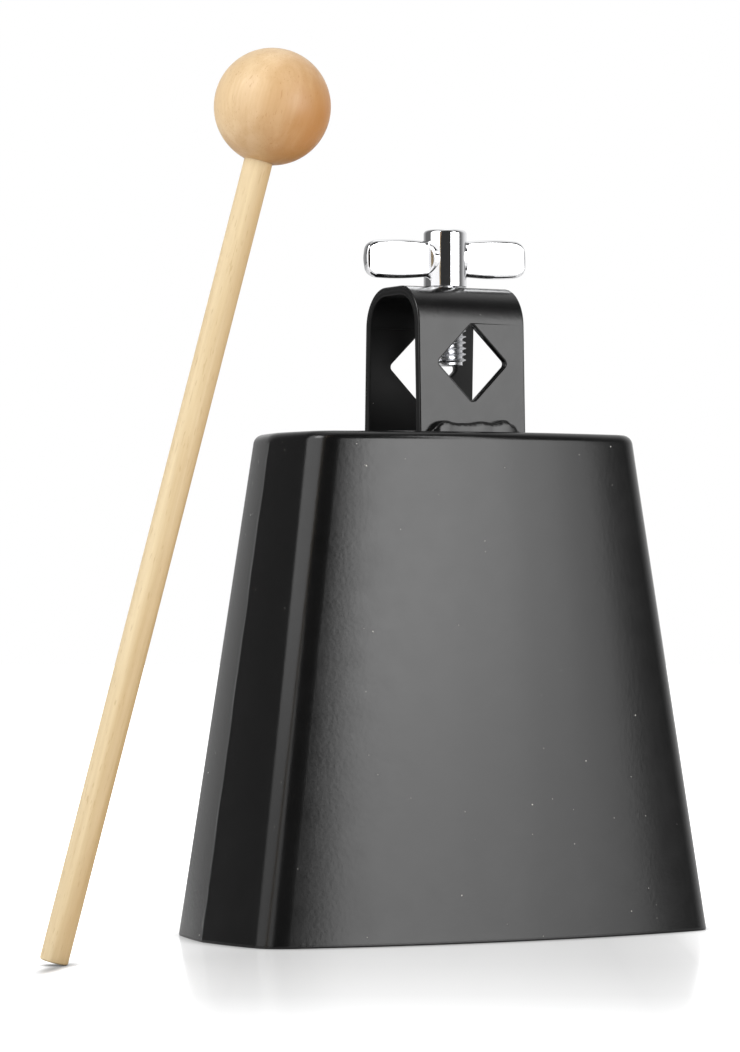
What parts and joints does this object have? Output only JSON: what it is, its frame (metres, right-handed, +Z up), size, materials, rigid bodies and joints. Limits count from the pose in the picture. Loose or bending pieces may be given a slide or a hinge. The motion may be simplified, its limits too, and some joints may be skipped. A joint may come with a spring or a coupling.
{
  "type": "cowbell",
  "caption": "Black steel cowbell with a welded strap bracket that clamps on a rod by a chromed wing screw, standing beside its wooden ball mallet.",
  "frame": {"origin": "under the middle of the whole set, bell and mallet together, on the surface it stands on", "axes": "+Z up, +X along the bell's width with the mallet on the -X side, the bell's broad front faces -Y"},
  "size_m": [0.1988, 0.114, 0.2141],
  "materials": {
    "body_paint": "satin black powder coat",
    "bracket_paint": "satin black powder coat",
    "zinc_plate": "bright zinc plate",
    "chrome_plate": "mirror chrome",
    "ball_wood": "sanded and clear sealed",
    "stick_wood": "sanded, bare"
  },
  "bodies": {
    "bell": {"bell_body": "body_paint", "left_seam_weld": "body_paint", "right_seam_weld": "body_paint", "mount_bracket": "bracket_paint", "front_bracket_weld": "bracket_paint", "rear_bracket_weld": "bracket_paint"},
    "clamp_stud": {"threaded_stud": "zinc_plate"},
    "wing_head": {"screw_head": "chrome_plate", "wing_bar": "chrome_plate"},
    "mallet": {"mallet_head": "ball_wood", "mallet_stick": "stick_wood"}
  },
  "joints": [
    {"name": "screw_travel", "type": "slide", "parent": "bell", "child": "clamp_stud", "axis": [0, 0, 1], "range_m": [0, 0.01164]},
    {"name": "wing_turn", "type": "hinge", "parent": "clamp_stud", "child": "wing_head", "pos_m": [0.0312, 0.02205, 0.1652], "axis": [0, 0, 1], "range_deg": [0, 2790]},
    {"name": "mallet_lift", "type": "slide", "parent": "bell", "child": "mallet", "axis": [0, 0, 1], "range_m": [0, 0.15]}
  ],
  "couplings": [
    {"joint": "screw_travel", "follows": "wing_turn", "m_per_rad": 0.00023873}
  ]
}
